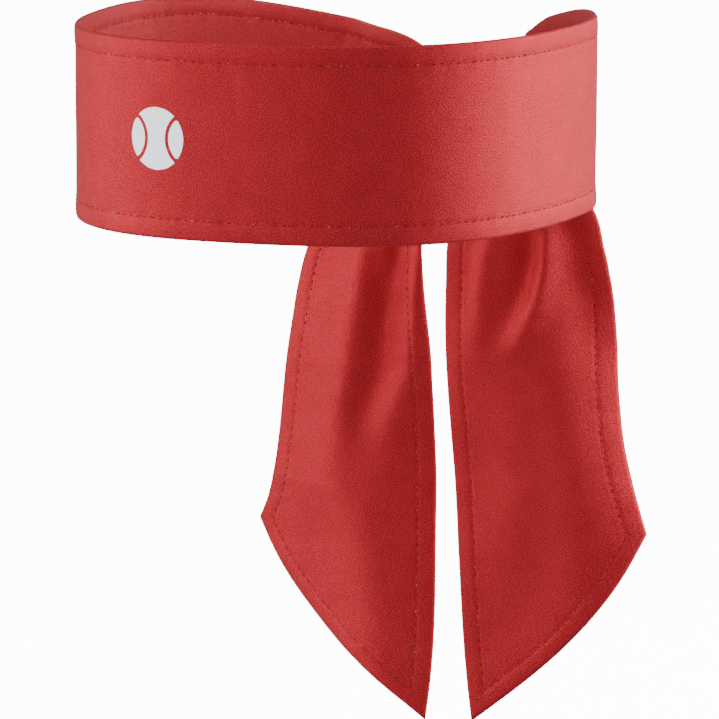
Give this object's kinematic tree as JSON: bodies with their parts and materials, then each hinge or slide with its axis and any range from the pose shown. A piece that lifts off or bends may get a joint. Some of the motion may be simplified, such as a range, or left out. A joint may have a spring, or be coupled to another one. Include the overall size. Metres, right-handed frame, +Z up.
{
  "type": "tie headband",
  "caption": "Wide double-layer knit sports headband, topstitched along both edges, knotted at the back with its pointed ends hanging.",
  "frame": {"origin": "centre of the head opening, half way up the full-height part of the band", "axes": "+Z up along the wearer's head, forehead towards -Y, knot and hanging ends towards +Y, +X towards the wearer's left ear"},
  "size_m": [0.1598, 0.2282, 0.257],
  "materials": {
    "knit": "satin knit",
    "lining": "satin knit",
    "thread": "sewing thread",
    "print": "matte transfer print"
  },
  "bodies": {
    "band": {"band_outer_face": "knit", "band_inner_lining": "lining", "band_upper_hem": "knit", "band_lower_hem": "knit", "upper_stitching_outside": "thread", "lower_stitching_outside": "thread", "upper_stitching_inside": "thread", "lower_stitching_inside": "thread", "front_mark": "print", "left_strap_gather": "knit", "right_strap_gather": "knit", "knot_left_turn": "knit", "knot_right_turn": "knit"},
    "left_tail": {"left_tail_neck": "knit", "left_tail_front_layer": "knit", "left_tail_back_layer": "lining", "left_tail_hem": "knit", "left_tail_stitching_front": "thread", "left_tail_stitching_back": "thread"},
    "right_tail": {"right_tail_neck": "knit", "right_tail_front_layer": "knit", "right_tail_back_layer": "lining", "right_tail_hem": "knit", "right_tail_stitching_front": "thread", "right_tail_stitching_back": "thread"}
  },
  "joints": [
    {"name": "left_tail_swing", "type": "hinge", "parent": "band", "child": "left_tail", "pos_m": [-0.022, 0.11, -0.036], "axis": [1, 0, 0], "range_deg": [-20, 90]},
    {"name": "right_tail_swing", "type": "hinge", "parent": "band", "child": "right_tail", "pos_m": [0.022, 0.11, -0.036], "axis": [1, 0, 0], "range_deg": [-20, 90]}
  ]
}
